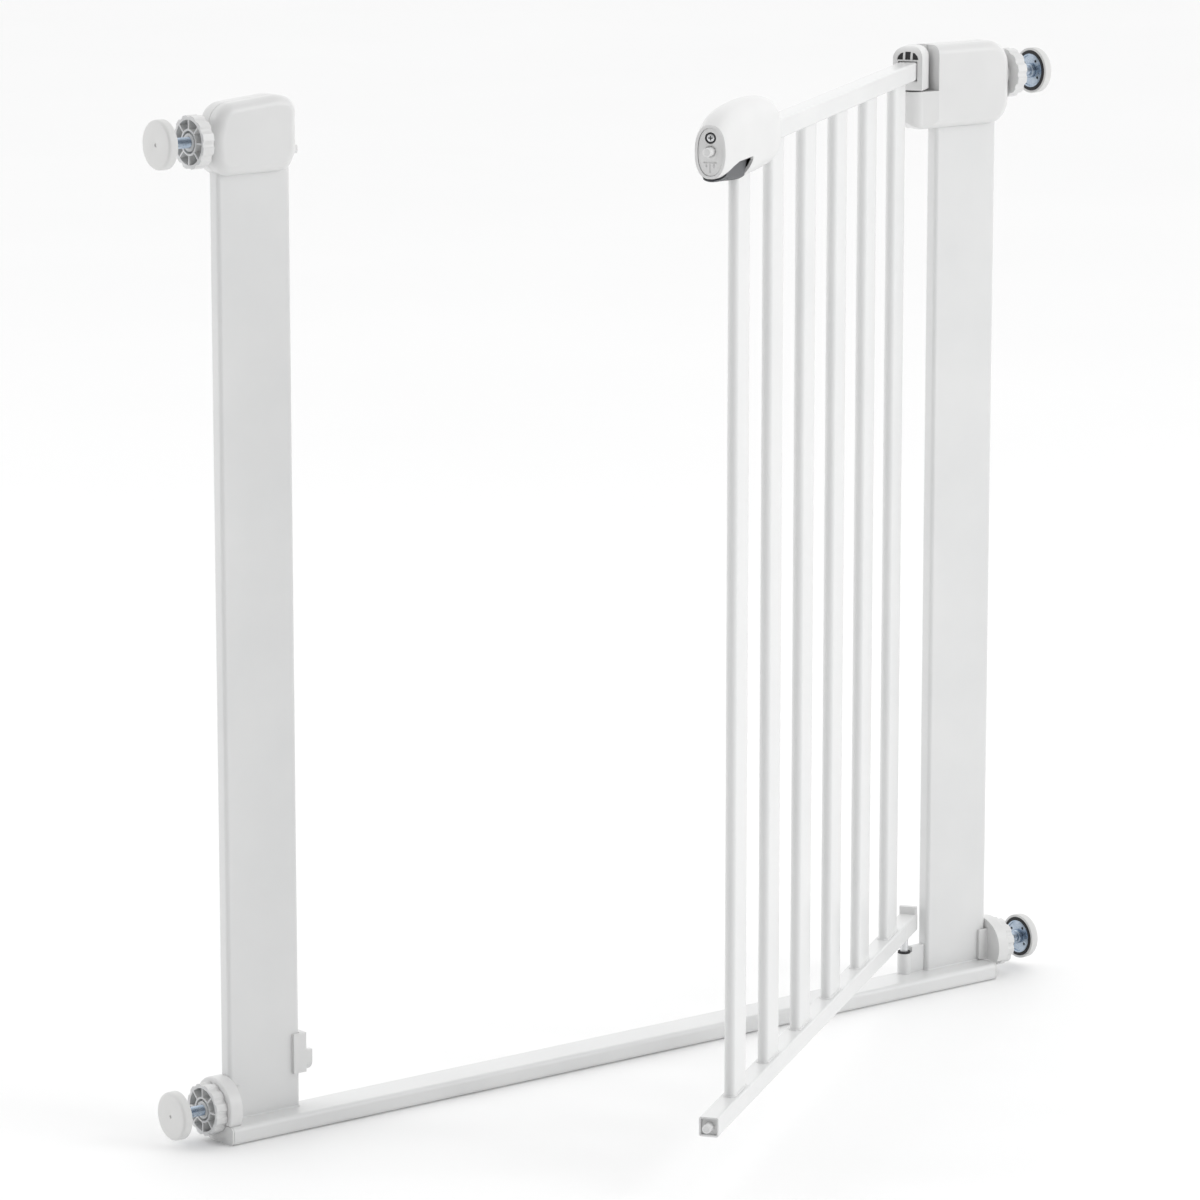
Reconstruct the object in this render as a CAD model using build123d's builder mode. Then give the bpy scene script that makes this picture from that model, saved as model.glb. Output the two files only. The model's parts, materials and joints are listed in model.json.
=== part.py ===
from build123d import *
from math import cos, pi, radians, sin
import os

# Pressure-fit safety gate with a lift-and-swing door.
# Millimetres, +Z up. The origin is on the floor, midway between the two uprights, in the
# plane of the wall spindles. The door stands open towards -Y, turned from its closed place.

# ---- uprights and base bar ----
passage = 607.0
post_width = 62.0
post_depth = 11.5
post_corner = 3.0
post_wall = 1.2
post_top = 712.0
bar_left = -376.0
bar_right = 362.0
bar_front = -24.5
bar_depth = 32.0
bar_height = 13.2
bar_corner = 3.5
bar_wall = 1.2
end_cap_plate = 1.2
end_cap_plug = 7.0
end_cap_groove = 0.35

post_inner = passage / 2
post_outer = post_inner + post_width
post_middle = post_inner + post_width / 2
bar_middle = bar_front + bar_depth / 2

# ---- running and sliding clearances ----
running = 0.05
loose = 0.3
seat = 0.2

# ---- hinge line and door ----
hinge_x = 284.5
door_angle = 35.0
rail_size = 14.0
rail_corner = 1.5
rail_wall = 1.2
top_rail_low = 721.0
bottom_rail_low = 44.5
rail_free_end = 577.0
bar_count = 6
first_bar = 56.2
bar_pitch = 90.4
door_bar_width = 35.0
door_bar_depth = 7.8
door_bar_wall = 1.0

top_rail_middle = top_rail_low + rail_size / 2
top_rail_high = top_rail_low + rail_size
bottom_rail_middle = bottom_rail_low + rail_size / 2
bottom_rail_high = bottom_rail_low + rail_size
rail_inside = rail_size - 2 * rail_wall

# ---- hinge pieces ----
knuckle_radius = 11.5
knuckle_high = 711.3
pin_radius = 3.1
washer_radius = 8.0
washer_thick = 1.9
cap_low = 713.5
cap_high = 746.5
cap_reach = 20.0
cap_round = 8.5
upper_pin_low = 692.0
upper_pin_high = 740.0
lower_pin_low = 17.5
lower_pin_high = 56.0
cup_radius = 5.2
cup_high = 29.7
web_high = 34.0
web_thick = 5.0
block_tail = 15.0
block_reach = 22.0

# ---- wall spindles, hand wheels and pads: distances from the middle of the gate ----
spindle_radius = 4.0
spindle_high = 719.2
spindle_low = 23.5
spindle_tip = 330.0
spindle_shoulder = 403.0
wheel_back = 376.5
wheel_face = 385.5
wheel_radius = 18.9
plate_back = 406.3
plate_radius = 13.0
ring_radius = 15.6
pad_back = 405.8
pad_face = 413.0
pad_radius = 17.6
guide_face = 376.2
guide_radius = 22.5

# ---- housings on the tops of the uprights ----
shell_wall = 2.2
housing_front = -14.0
housing_back = 13.0
housing_seam = -2.0
latch_side = (-371.5, -301.3)
latch_heights = (694.2, 748.0)
# the latch housing's outline: across, height and rounding of each corner
latch_outline = [
    (-371.0, 694.5, 14.0),
    (-372.5, 722.0, 20.0),
    (-366.5, 744.5, 16.0),
    (-316.0, 749.0, 30.0),
    (-301.3, 744.8, 11.5),
    (-301.3, 708.0, 12.0),
    (-308.0, 695.0, 10.0),
]
hinge_side = (270.0, 373.5)
hinge_box_side = (300.6, 373.5)
hinge_clear_x = 298.4
hinge_wrap_x = 290.0
hinge_wrap_radius = 13.0
hinge_heights = (682.0, 746.0)
hinge_corners = (16.0, 5.0, 18.0, 20.0)
hinge_box_corners = (10.0, 12.0, 18.0, 20.0)
front_edge = 7.5
back_edge = 7.0
screw_radius = 1.5
screw_head_radius = 3.0

# ---- latch bolt, its pocket and the cradle under it ----
bolt_radius = 3.1
bolt_height = 729.5
bolt_tip = 592.0
bolt_tail = 534.0
pocket_back = -312.0
seam_half_gap = 0.2
pocket_half_width = 6.0
pocket_low = 725.0
pocket_high = 740.6
keeper_wall = 1.2
keeper_mouth = -306.0
cradle_front = -8.2
cradle_back = 8.0
cradle_low = 38.6
cradle_high = 68.0
cradle_lip = 54.8
cradle_tip = -294.3
cradle_shoulder = -299.5
cradle_outer = -310.4
stay_pin_reach = 583.5

# ---- handle on the free end of the door ----
handle_start = 438.0
handle_end = 583.0
handle_wall = 2.0
trigger_pivot_reach = 572.0
trigger_pivot_height = 715.0
trigger_boss_radius = 3.0
boss_half_width = 4.4
trigger_half_width = 8.3
trigger_drop = 1.6
cheek_inside = 7.3
axle_radius = 1.2
axle_half_length = 5.9
# reach from the hinge line, lowest point, highest point, half width, squareness
handle_sections = [
    (438.0, 710.5, 745.5, 9.6, 2.4),
    (442.0, 708.6, 748.4, 11.4, 2.5),
    (452.0, 706.8, 752.4, 12.8, 2.6),
    (480.0, 705.4, 756.2, 13.5, 2.6),
    (520.0, 705.6, 757.0, 13.5, 2.6),
    (552.0, 707.8, 755.4, 13.0, 2.5),
    (572.0, 709.4, 751.6, 12.0, 2.4),
    (580.0, 710.2, 748.6, 11.2, 2.3),
    (583.0, 710.8, 747.2, 10.7, 2.3),
]

door = Plane(
    origin=(hinge_x, 0, 0),
    x_dir=(-cos(radians(door_angle)), -sin(radians(door_angle)), 0),
    z_dir=(0, 0, 1),
)

os.makedirs("parts", exist_ok=True)


def save(piece, name):
    piece.part.label = name
    export_step(piece.part, f"parts/{name}.step")


def on_door(local):
    """A plane given in the door's own frame: reach from the hinge line, front offset, height."""
    return Plane(door.location * local.location)


def across_door(reach, height):
    """Plane square to the door's length, facing its free end: x is the front offset, y is up."""
    return on_door(Plane(origin=(reach, 0, height), x_dir=(0, 1, 0), z_dir=(1, 0, 0)))


def door_side(offset):
    """Plane along the door, facing its front: x is minus the reach, y is up."""
    return on_door(Plane(origin=(0, offset, 0), x_dir=(-1, 0, 0), z_dir=(0, 1, 0)))


def toward_wall(side, distance, height):
    """Plane square to a spindle, facing the wall on that side (-1 left, +1 right)."""
    return Plane(origin=(side * distance, 0, height), x_dir=(0, side, 0), z_dir=(side, 0, 0))


# ======================================================================= frame

def upright(side):
    with BuildPart() as post:
        with BuildSketch(Plane.XY.offset(bar_height)):
            with Locations((side * post_middle, 0)):
                RectangleRounded(post_width, post_depth, post_corner)
                RectangleRounded(
                    post_width - 2 * post_wall,
                    post_depth - 2 * post_wall,
                    post_corner - post_wall,
                    mode=Mode.SUBTRACT,
                )
        extrude(amount=post_top - bar_height)
        with BuildSketch(toward_wall(side, post_outer - 2 * post_wall, spindle_low)):
            Circle(spindle_radius + loose)
        extrude(amount=3 * post_wall, mode=Mode.SUBTRACT)
    return post


save(upright(-1), "latch_post")
save(upright(1), "hinge_post")

bar_plane = Plane(
    origin=(bar_left + end_cap_plate + end_cap_groove, bar_middle, bar_height / 2),
    x_dir=(0, 1, 0),
    z_dir=(1, 0, 0),
)
with BuildPart() as base_bar:
    with BuildSketch(bar_plane):
        RectangleRounded(bar_depth, bar_height, bar_corner)
        RectangleRounded(
            bar_depth - 2 * bar_wall,
            bar_height - 2 * bar_wall,
            bar_corner - bar_wall,
            mode=Mode.SUBTRACT,
        )
    extrude(amount=bar_right - bar_left - 2 * (end_cap_plate + end_cap_groove))
save(base_bar, "base_bar")


def bar_end(end_x, inward):
    return Plane(
        origin=(end_x, bar_middle, bar_height / 2),
        x_dir=(0, 1, 0),
        z_dir=(inward, 0, 0),
    )


with BuildPart() as base_end_caps:
    for end_x, inward in ((bar_left, 1), (bar_right, -1)):
        with BuildSketch(bar_end(end_x, inward)):
            RectangleRounded(bar_depth, bar_height, bar_corner)
        extrude(amount=end_cap_plate)
        with BuildSketch(bar_end(end_x, inward).offset(end_cap_plate)):
            RectangleRounded(
                bar_depth - 2 * bar_wall - seat,
                bar_height - 2 * bar_wall - seat,
                bar_corner - bar_wall,
            )
        extrude(amount=end_cap_plug)
save(base_end_caps, "base_end_caps")


# ---------------------------------------------------------------- housings

def pillow(sides, heights, front, back, corners, front_round, back_round):
    """Moulding with a rounded outline seen from the front and rounded front and back edges.

    The corners' radii run from the low left one round: low left, high left, low right, high right.
    """
    with BuildPart() as body:
        with BuildSketch(Plane.XZ.offset(-back)) as outline:
            with Locations(((sides[0] + sides[1]) / 2, (heights[0] + heights[1]) / 2)):
                Rectangle(sides[1] - sides[0], heights[1] - heights[0])
            places = [(x, z) for x in sides for z in heights]
            for (x, z), radius in zip(places, corners):
                near = sorted(
                    outline.vertices(),
                    key=lambda vertex: abs(vertex.X - x) + abs(vertex.Y - z),
                )
                fillet(near[0], radius)
        extrude(amount=back - front)
        fillet(body.faces().sort_by(Axis.Y)[0].edges(), front_round)
        fillet(body.faces().sort_by(Axis.Y)[-1].edges(), back_round)
    return body


def soft_pillow(corners, wall, front, back, front_round, back_round):
    """As pillow, with a many-sided outline that can be drawn in by a wall."""
    with BuildPart() as body:
        with BuildSketch(Plane.XZ.offset(-back)) as outline:
            with BuildLine():
                Polyline(*[(x, z) for x, z, radius in corners], close=True)
            make_face()
            for x, z, radius in corners:
                near = sorted(
                    outline.vertices(),
                    key=lambda vertex: abs(vertex.X - x) + abs(vertex.Y - z),
                )
                fillet(near[0], radius)
            if wall:
                offset(amount=-wall)
        extrude(amount=back - front)
        fillet(body.faces().sort_by(Axis.Y)[0].edges(), front_round)
        fillet(body.faces().sort_by(Axis.Y)[-1].edges(), back_round)
    return body


def inset(pair, amount):
    return (pair[0] + amount, pair[1] - amount)


def housing_body(sides, heights, corners):
    return pillow(sides, heights, housing_front, housing_back, corners, front_edge, back_edge)


def housing_cavity(sides, heights, corners):
    return pillow(
        inset(sides, shell_wall),
        inset(heights, shell_wall),
        housing_front + shell_wall,
        housing_back - shell_wall,
        [corner - shell_wall for corner in corners],
        front_edge - shell_wall,
        back_edge - shell_wall,
    )


def post_socket(middle_x):
    """The part of a housing's floor that its upright passes through."""
    with BuildPart() as socket:
        with BuildSketch(Plane.XY.offset(post_top - 40)):
            with Locations((middle_x, 0)):
                RectangleRounded(post_width + 2 * seat, post_depth + 2 * seat, post_corner)
        extrude(amount=40 + seat)
    return socket


def screw_places(sides, heights):
    middle = (sides[0] + sides[1]) / 2
    return [(middle + step, heights[1] - 11.0) for step in (-15.0, 13.0)]


def screw_posts(sides, heights):
    """Two pillars that the housing's screws run through, front wall to back wall."""
    with BuildPart() as posts:
        with BuildSketch(Plane.XZ.offset(-housing_back + shell_wall / 2)):
            with Locations(*screw_places(sides, heights)):
                Circle(3.6)
        extrude(amount=housing_back - housing_front - shell_wall)
    return posts


def screw_holes(sides, heights):
    with BuildPart() as holes:
        with BuildSketch(Plane.XZ.offset(-housing_back)):
            with Locations(*screw_places(sides, heights)):
                Circle(screw_head_radius + seat)
        extrude(amount=3.4)
        with BuildSketch(Plane.XZ.offset(-housing_back)):
            with Locations(*screw_places(sides, heights)):
                Circle(screw_radius + seat / 2)
        extrude(amount=housing_back - housing_front - 2 * shell_wall)
    return holes


def spindle_mouth(side):
    """Round nose on a housing's wall side that a hand wheel turns against."""
    with BuildPart() as mouth:
        with BuildSketch(toward_wall(side, 366.0, spindle_high)):
            Circle(9.0)
        extrude(amount=guide_face - 366.0)
    return mouth


def spindle_way(side):
    with BuildPart() as way:
        with BuildSketch(toward_wall(side, 320.0, spindle_high)):
            Circle(spindle_radius + loose)
        extrude(amount=60.0)
    return way


def half(whole, keep_front):
    """The half of a housing in front of its seam, or the half behind it."""
    gap = seam_half_gap if keep_front else -seam_half_gap
    with BuildPart() as piece:
        add(whole.part)
        with BuildSketch(Plane.XZ.offset(-housing_seam + gap)):
            Rectangle(4 * post_outer, 4 * post_top)
        extrude(amount=-60 if keep_front else 60, mode=Mode.SUBTRACT)
    return piece


with BuildPart() as latch_shell:
    add(soft_pillow(latch_outline, 0, housing_front, housing_back, front_edge, back_edge).part)
    add(
        soft_pillow(
            latch_outline,
            shell_wall,
            housing_front + shell_wall,
            housing_back - shell_wall,
            front_edge - shell_wall,
            back_edge - shell_wall,
        ).part,
        mode=Mode.SUBTRACT,
    )
    add(screw_posts(latch_side, latch_heights).part)
    add(spindle_mouth(-1).part)
    add(spindle_way(-1).part, mode=Mode.SUBTRACT)
    add(post_socket(-post_middle).part, mode=Mode.SUBTRACT)
    add(screw_holes(latch_side, latch_heights).part, mode=Mode.SUBTRACT)
    # pocket for the bolt, open to the passage
    with BuildSketch(Plane.YZ.offset(pocket_back)):
        with Locations((0, (pocket_low + pocket_high) / 2)):
            Rectangle(2 * pocket_half_width, pocket_high - pocket_low)
    extrude(amount=20.0, mode=Mode.SUBTRACT)
    # lead-in scooped from the front corner, and the small lip below it
    with BuildSketch(Plane.YZ.offset(latch_side[1] - 2.6)):
        with Locations((-9.0, 724.5)):
            RectangleRounded(12.0, 17.0, 2.0)
    extrude(amount=6.0, mode=Mode.SUBTRACT)
    with BuildSketch(Plane.YZ.offset(latch_side[1] - 1.5)):
        with Locations((-7.0, 709.5)):
            RectangleRounded(7.0, 6.0, 1.5)
    extrude(amount=2.3)
latch_shell_front = half(latch_shell, True)
latch_shell_rear = half(latch_shell, False)
save(latch_shell_front, "latch_housing_front")
save(latch_shell_rear, "latch_housing_rear")

with BuildPart() as latch_keeper:
    with BuildSketch(Plane.YZ.offset(pocket_back)):
        with Locations((0, (pocket_low + pocket_high) / 2)):
            Rectangle(2 * (pocket_half_width + keeper_wall), pocket_high - pocket_low + 2 * keeper_wall)
            Rectangle(2 * pocket_half_width, pocket_high - pocket_low, mode=Mode.SUBTRACT)
    extrude(amount=keeper_mouth - pocket_back)
save(latch_keeper, "latch_keeper")

# the hinge housing carries the fixed knuckle, and wraps behind the turning one
knuckle_front = housing_front
with BuildPart() as knuckle_trim:
    with BuildSketch(Plane.XY.offset(hinge_heights[0] - 5)):
        with Locations(((hinge_side[0] - 10 + hinge_clear_x) / 2, 0)):
            Rectangle(hinge_clear_x - hinge_side[0] + 10, 60)
        with Locations((hinge_x, 0)):
            Circle(knuckle_radius, mode=Mode.SUBTRACT)
        with BuildLine():
            Polyline(
                (hinge_x, -knuckle_radius),
                (hinge_clear_x, knuckle_front),
                (hinge_clear_x + 5, knuckle_front),
                (hinge_clear_x + 5, housing_back),
                (hinge_clear_x, housing_back),
                (hinge_x, knuckle_radius),
                (hinge_x, -knuckle_radius),
            )
        make_face(mode=Mode.SUBTRACT)
    extrude(amount=knuckle_high - hinge_heights[0] + 5)
    with BuildSketch(Plane.XY.offset(knuckle_high)):
        with Locations(((hinge_side[0] - 10 + hinge_wrap_x) / 2, 0)):
            Rectangle(hinge_wrap_x - hinge_side[0] + 10, 60)
        with Locations(((hinge_side[0] + hinge_clear_x) / 2, -15)):
            Rectangle(hinge_clear_x - hinge_side[0], 30)
        with Locations((hinge_x, 0)):
            Circle(hinge_wrap_radius)
    extrude(amount=60)

with BuildPart() as hinge_shell:
    add(housing_body(hinge_side, hinge_heights, hinge_corners).part)
    add(knuckle_trim.part, mode=Mode.SUBTRACT)
    add(housing_cavity(hinge_box_side, hinge_heights, hinge_box_corners).part, mode=Mode.SUBTRACT)
    add(screw_posts(hinge_box_side, hinge_heights).part)
    add(spindle_mouth(1).part)
    add(spindle_way(1).part, mode=Mode.SUBTRACT)
    add(post_socket(post_middle).part, mode=Mode.SUBTRACT)
    add(screw_holes(hinge_box_side, hinge_heights).part, mode=Mode.SUBTRACT)
    with Locations((hinge_x, 0, upper_pin_low + 50.0 - loose)):
        Cylinder(pin_radius + running, 100.0, mode=Mode.SUBTRACT)

rear_box_left = hinge_box_side[0] + shell_wall
with BuildPart() as hinge_rear_half:
    add(hinge_shell.part)
    split(bisect_by=Plane.XZ.offset(-housing_seam - seam_half_gap), keep=Keep.BOTTOM)
    split(bisect_by=Plane.YZ.offset(rear_box_left + seam_half_gap), keep=Keep.TOP)
with BuildPart() as hinge_front_half:
    add(hinge_shell.part)
    with BuildSketch(Plane.XY.offset(hinge_heights[0] - 5)):
        with Locations((rear_box_left - seam_half_gap + 50, housing_seam - seam_half_gap + 50)):
            Rectangle(100, 100)
    extrude(amount=hinge_heights[1] - hinge_heights[0] + 10, mode=Mode.SUBTRACT)
save(hinge_front_half, "hinge_housing_front")
save(hinge_rear_half, "hinge_housing_rear")


def screw(plane, head_radius, head_height, shank_radius, length):
    """Cross-recess screw: its head starts on the plane and its shank runs on below the head."""
    with BuildPart() as fastener:
        with BuildSketch(plane):
            Circle(head_radius)
        extrude(amount=head_height)
        with BuildSketch(plane.offset(head_height)):
            Circle(shank_radius)
        extrude(amount=length)
        with BuildSketch(plane):
            Rectangle(2.6, 0.7)
            Rectangle(0.7, 2.6)
        extrude(amount=head_height * 0.6, mode=Mode.SUBTRACT)
    return fastener


with BuildPart() as housing_screws:
    for sides, heights in ((latch_side, latch_heights), (hinge_box_side, hinge_heights)):
        for place_x, place_z in screw_places(sides, heights):
            head = Plane(
                origin=(place_x, housing_back - 1.2, place_z),
                x_dir=(1, 0, 0),
                z_dir=(0, -1, 0),
            )
            add(screw(head, screw_head_radius, 2.0, screw_radius, 17.0).part)
save(housing_screws, "housing_screws")

# ---------------------------------------------------------------- cradle for the stay pin
with BuildPart() as cradle:
    with BuildSketch(Plane.XY.offset(cradle_low)):
        with Locations(((cradle_shoulder - post_inner) / 2, (cradle_front + cradle_back) / 2)):
            Rectangle(post_inner + cradle_shoulder, cradle_back - cradle_front)
        flange_middle = (cradle_outer - post_inner) / 2
        with Locations((flange_middle, (cradle_front - post_depth / 2) / 2)):
            Rectangle(-post_inner - cradle_outer, -post_depth / 2 - cradle_front)
    extrude(amount=cradle_high - cradle_low)
    with BuildSketch(Plane.YZ.offset(cradle_shoulder)):
        with BuildLine():
            Polyline(
                (cradle_front, bottom_rail_middle - 6.0),
                (cradle_front, cradle_lip),
                (-4.2, cradle_lip),
                (-4.2, bottom_rail_middle),
            )
            ThreePointArc(
                (-4.2, bottom_rail_middle),
                (0, bottom_rail_middle - 4.2),
                (4.2, bottom_rail_middle),
            )
            Polyline(
                (4.2, bottom_rail_middle),
                (4.2, cradle_high - 4.0),
                (cradle_back, cradle_high - 4.0),
                (cradle_back, bottom_rail_middle - 6.0),
            )
            ThreePointArc(
                (cradle_back, bottom_rail_middle - 6.0),
                (0, cradle_low),
                (cradle_front, bottom_rail_middle - 6.0),
            )
        make_face()
    extrude(amount=cradle_tip - cradle_shoulder)
    for height in (cradle_low + 5.5, cradle_high - 5.5):
        with BuildSketch(Plane.YZ.offset(-post_inner)):
            with Locations((0, height)):
                Circle(screw_radius + seat / 2)
        extrude(amount=post_inner + cradle_shoulder, mode=Mode.SUBTRACT)
save(cradle, "stay_cradle")

with BuildPart() as cradle_screws:
    for height in (cradle_low + 5.5, cradle_high - 5.5):
        with BuildSketch(Plane.YZ.offset(-post_inner)):
            with Locations((0, height)):
                Circle(screw_radius)
        extrude(amount=post_inner + cradle_shoulder)
save(cradle_screws, "cradle_rivets")

# ---------------------------------------------------------------- lower spindle guides

def lower_guide(side):
    """Round boss on the upright's wall side, with a flange folded over its front face."""
    with BuildPart() as guide:
        with BuildSketch(toward_wall(side, post_outer + 0.2, spindle_low)):
            Circle(guide_radius)
            with Locations((0, -guide_radius - spindle_low + bar_height + 0.1)):
                Rectangle(4 * guide_radius, 2 * guide_radius, mode=Mode.SUBTRACT)
        extrude(amount=guide_face - post_outer - 0.2)
        fillet(guide.faces().sort_by(Axis.X)[0 if side < 0 else -1].edges(), 1.2)
        with BuildSketch(Plane.XZ.offset(post_depth / 2 + 0.1)):
            with Locations((side * (post_outer - 3.0), 25.8)):
                RectangleRounded(11.0, 24.6, 1.6)
        extrude(amount=2.5)
        with BuildSketch(toward_wall(side, post_outer - 1.0, spindle_low)):
            Circle(spindle_radius + loose)
        extrude(amount=20.0, mode=Mode.SUBTRACT)
    return guide


save(lower_guide(-1), "lower_guide_left")
save(lower_guide(1), "lower_guide_right")

# ---------------------------------------------------------------- lower hinge bracket
with BuildPart() as lower_bracket:
    with BuildSketch(Plane.XY.offset(bar_height)):
        with Locations((hinge_x, 0)):
            Circle(cup_radius)
    extrude(amount=cup_high - bar_height)
    for web_start, top in ((hinge_x + cup_radius - 0.6, cup_high), (hinge_x + 6.2, web_high)):
        with BuildSketch(Plane.XY.offset(bar_height)):
            with Locations(((web_start + post_inner) / 2, 0)):
                Rectangle(post_inner - web_start, web_thick)
        extrude(amount=top - bar_height)
    with BuildSketch(Plane.XY.offset(lower_pin_low - 1.5)):
        with Locations((hinge_x, 0)):
            Circle(pin_radius + running)
    extrude(amount=web_high, mode=Mode.SUBTRACT)
save(lower_bracket, "lower_hinge_bracket")

with BuildPart() as lower_washer:
    with BuildSketch(Plane.XY.offset(cup_high + 0.05)):
        with Locations((hinge_x, 0)):
            Circle(cup_radius - 0.25)
            Circle(pin_radius + loose, mode=Mode.SUBTRACT)
    extrude(amount=1.5)
save(lower_washer, "lower_hinge_washer")

# ======================================================================= swivel
with BuildPart() as upper_pin:
    with BuildSketch(Plane.XY.offset(upper_pin_low)):
        with Locations((hinge_x, 0)):
            Circle(pin_radius)
    extrude(amount=upper_pin_high - upper_pin_low)
    chamfer(upper_pin.faces().sort_by(Axis.Z)[-1].edges(), 0.6)
save(upper_pin, "upper_hinge_pin")

with BuildPart() as thrust_washer:
    with BuildSketch(Plane.XY.offset(knuckle_high + 0.15)):
        with Locations((hinge_x, 0)):
            Circle(washer_radius)
            Circle(pin_radius, mode=Mode.SUBTRACT)
    extrude(amount=washer_thick)
save(thrust_washer, "thrust_washer")

# ======================================================================= door

def rail(start, end, middle_height):
    with BuildPart() as tube:
        with BuildSketch(across_door(start, middle_height)):
            RectangleRounded(rail_size, rail_size, rail_corner)
            RectangleRounded(rail_inside, rail_inside, 0.4, mode=Mode.SUBTRACT)
        extrude(amount=end - start)
    return tube


top_rail = rail(cap_reach - 7.0, handle_end - 7.0, top_rail_middle)
with BuildPart() as top_rail_slotted:
    add(top_rail.part)
    # slot in the underside for the trigger's wedge
    with BuildSketch(on_door(Plane.XY.offset(top_rail_low - 1))):
        with Locations((534.1, 0)):
            Rectangle(15.0, 5.0)
    extrude(amount=1 + 2 * rail_wall, mode=Mode.SUBTRACT)
save(top_rail_slotted, "top_rail")
save(rail(block_reach, rail_free_end, bottom_rail_middle), "bottom_rail")


def door_bar(reach):
    with BuildPart() as slat:
        with BuildSketch(on_door(Plane.XY.offset(bottom_rail_high))):
            with Locations((reach, 0)):
                SlotOverall(door_bar_width, door_bar_depth)
                SlotOverall(
                    door_bar_width - 2 * door_bar_wall,
                    door_bar_depth - 2 * door_bar_wall,
                    mode=Mode.SUBTRACT,
                )
        extrude(amount=top_rail_low - bottom_rail_high)
    return slat


for index in range(bar_count):
    save(door_bar(first_bar + index * bar_pitch), f"door_bar_{bar_count - index}")


def cap_slots(outer, inner, gap):
    """The three slots above the rail: an upright one between two with sloping shoulders."""
    low, high, tall = top_rail_high + 1.8 + gap, top_rail_high + 6.2 - gap, top_rail_high + 7.8 - gap
    with BuildPart() as slots:
        with BuildSketch(across_door(inner, 0)):
            with Locations((0, (low + tall) / 2)):
                Rectangle(4.2 - 2 * gap, tall - low)
            for side in (-1, 1):
                with BuildLine():
                    Polyline(
                        (side * (3.7 + gap), low),
                        (side * (8.4 - gap), low),
                        (side * (7.6 - gap), high - 1.6),
                        (side * (5.4 - gap), high + 0.6),
                        (side * (3.7 + gap), high + 1.0),
                        (side * (3.7 + gap), low),
                    )
                make_face()
        extrude(amount=outer - inner)
    return slots.part


# turning knuckle that takes the top rail's end
with BuildPart() as hinge_cap:
    with BuildSketch(on_door(Plane.XY.offset(cap_low))):
        Circle(knuckle_radius)
        with Locations((cap_reach / 2, 0)):
            Rectangle(cap_reach, 2 * knuckle_radius)
    extrude(amount=cap_high - cap_low)
    top_edges = hinge_cap.faces().sort_by(Axis.Z)[-1].edges()
    fillet(top_edges, cap_round)
    with BuildSketch(across_door(cap_reach + 1.0, top_rail_middle)):
        Rectangle(rail_size + 1.2, rail_size + 1.2)
    extrude(amount=-9.0, mode=Mode.SUBTRACT)
    add(cap_slots(cap_reach + 1.0, cap_reach - 4.0, 0), mode=Mode.SUBTRACT)
    with BuildSketch(on_door(Plane.XY.offset(cap_low - 1))):
        Circle(pin_radius + running)
    extrude(amount=upper_pin_high + 1.5 - cap_low, mode=Mode.SUBTRACT)
save(hinge_cap, "hinge_cap")

with BuildPart() as cap_insert:
    add(cap_slots(cap_reach - 1.0, cap_reach - 4.0, 0.1))
save(cap_insert, "cap_insert")

with BuildPart() as lower_block:
    with BuildSketch(across_door(-block_tail, bottom_rail_middle)):
        RectangleRounded(rail_size, rail_size, rail_corner)
    extrude(amount=block_tail + block_reach)
    with BuildSketch(on_door(Plane.XY.offset(bottom_rail_high - 2.0))):
        with Locations((-block_tail + 2.2, 0)):
            RectangleRounded(4.4, rail_size, 1.2)
    extrude(amount=8.0)
    with BuildSketch(across_door(block_reach, bottom_rail_middle)):
        RectangleRounded(rail_inside - seat, rail_inside - seat, 0.4)
    extrude(amount=14.0)
    with BuildSketch(on_door(Plane.XY.offset(bottom_rail_low - 1))):
        Circle(pin_radius)
    extrude(amount=lower_pin_high - bottom_rail_low + 1, mode=Mode.SUBTRACT)
save(lower_block, "lower_hinge_block")

with BuildPart() as lower_pin:
    with BuildSketch(on_door(Plane.XY.offset(lower_pin_low))):
        Circle(pin_radius)
    extrude(amount=lower_pin_high - lower_pin_low)
    chamfer(lower_pin.faces().sort_by(Axis.Z)[0].edges(), 0.6)
save(lower_pin, "lower_hinge_pin")

with BuildPart() as rail_plug:
    with BuildSketch(across_door(rail_free_end - 16.0, bottom_rail_middle)):
        RectangleRounded(rail_inside - seat, rail_inside - seat, 0.4)
        Circle(pin_radius, mode=Mode.SUBTRACT)
    extrude(amount=13.2)
save(rail_plug, "rail_plug")

with BuildPart() as stay_pin:
    with BuildSketch(across_door(rail_free_end - 16.0, bottom_rail_middle)):
        Circle(pin_radius)
    extrude(amount=stay_pin_reach - rail_free_end + 16.0)
    tip = stay_pin.faces().sort_by(Axis((0, 0, 0), tuple(door.x_dir)))[-1]
    chamfer(tip.edges(), 0.7)
save(stay_pin, "stay_pin")


# ---------------------------------------------------------------- handle

def oval_points(half_width, half_height, squareness, count=16):
    """Points on a superellipse, from the right side round."""
    points = []
    for step in range(count):
        angle = 2 * pi * step / count
        power = 2 / squareness
        across = half_width * abs(cos(angle)) ** power * (1 if cos(angle) > 0 else -1)
        up = half_height * abs(sin(angle)) ** power * (1 if sin(angle) > 0 else -1)
        points.append((across, up))
    return points


def handle_loft(wall, start, end):
    """The grip's long rounded body, inset by a wall and cut off square at both ends."""
    with BuildPart() as grip:
        for reach, low, high, half_width, squareness in handle_sections:
            with BuildSketch(across_door(reach, (low + high) / 2)):
                with BuildLine():
                    Spline(
                        oval_points(half_width - wall, (high - low) / 2 - wall, squareness),
                        periodic=True,
                    )
                make_face()
        loft()
        split(bisect_by=across_door(start, 0), keep=Keep.TOP)
        split(bisect_by=across_door(end, 0), keep=Keep.BOTTOM)
    return grip


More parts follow.
